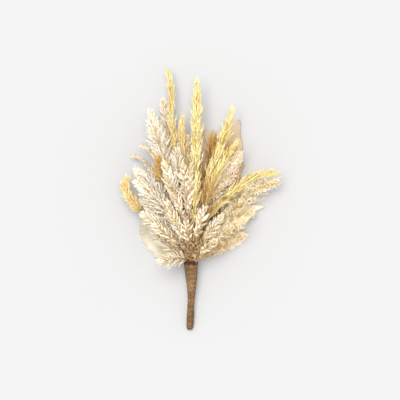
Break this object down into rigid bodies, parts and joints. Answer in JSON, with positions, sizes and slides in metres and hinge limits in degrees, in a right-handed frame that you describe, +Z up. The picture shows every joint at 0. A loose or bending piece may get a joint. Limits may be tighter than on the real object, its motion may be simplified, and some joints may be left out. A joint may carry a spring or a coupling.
{
  "type": "dried pampas grass bouquet",
  "caption": "Dried bouquet of feathery pampas plumes, narrow yellow grass spikes, grainy sprays and broad dry leaves, bound at the stems into a tapering tape-wound handle.",
  "frame": {"origin": "centre of the bounding box in plan, on the surface the bunch lies on", "axes": "+Y from the wrapped handle towards the tips, +X to the right seen from above, +Z up away from the surface"},
  "size_m": [0.283, 0.4603, 0.0962],
  "materials": {
    "cream_plume": "dry feathery florets, matte",
    "blush_plume": "dry feathery florets, matte",
    "yellow_spike": "dry feathery florets, matte",
    "ochre_spike": "dry feathery florets, matte",
    "gold_tuft": "dry feathery florets, matte",
    "brown_tuft": "dry feathery florets, matte",
    "millet_grain": "dry grains, matte with a faint sheen",
    "dry_leaf": "dry matte leaf with veins",
    "pale_leaf": "dry matte leaf with veins",
    "wrap_tape": "matte crinkled tape",
    "bound_stems": "matte dried stems"
  },
  "bodies": {
    "root": {"leaf_low_left": "pale_leaf", "leaf_top_middle": "dry_leaf", "leaf_top_right": "dry_leaf", "leaf_right": "dry_leaf", "leaf_low_right": "dry_leaf", "cream_plume_curly_left": "cream_plume", "cream_plume_inner_left": "cream_plume", "blush_plume_small_middle": "blush_plume", "gold_tuft_right": "gold_tuft", "gold_tuft_far_right": "gold_tuft", "millet_spray_low": "millet_grain", "millet_spray_lowest": "millet_grain", "cream_plume_lowest_left": "cream_plume", "gold_curl_far_left": "ochre_spike", "cream_plume_curl_upper": "cream_plume", "yellow_spike_tall_left": "yellow_spike", "ochre_spike_middle": "ochre_spike", "blush_plume_right": "blush_plume", "millet_spray_right": "millet_grain", "cream_plume_wide_middle": "cream_plume", "cream_plume_wide_upper": "cream_plume", "cream_plume_tall_left": "cream_plume", "yellow_spike_tall_middle": "yellow_spike", "yellow_spike_upper_right": "yellow_spike", "yellow_spike_arched": "yellow_spike", "cream_plume_low_left": "cream_plume", "cream_plume_wide_lower": "cream_plume", "gold_tuft_left": "gold_tuft", "cream_plume_upper_middle": "cream_plume", "yellow_spike_small_right": "yellow_spike", "millet_spray_front": "millet_grain", "cream_plume_left_short": "cream_plume", "cream_plume_long_left": "cream_plume", "cream_plume_long_middle": "cream_plume", "cream_plume_long_right": "cream_plume", "yellow_stem_middle": "yellow_spike", "brown_tuft_middle": "brown_tuft", "cream_plume_right_short": "cream_plume", "cream_plume_base_left": "cream_plume", "cream_plume_front_left": "cream_plume", "cream_plume_front_middle": "cream_plume", "cream_plume_front_right": "cream_plume", "cream_plume_low_right": "cream_plume", "handle_wrap": "wrap_tape", "stem_core": "bound_stems"}
  },
  "joints": []
}
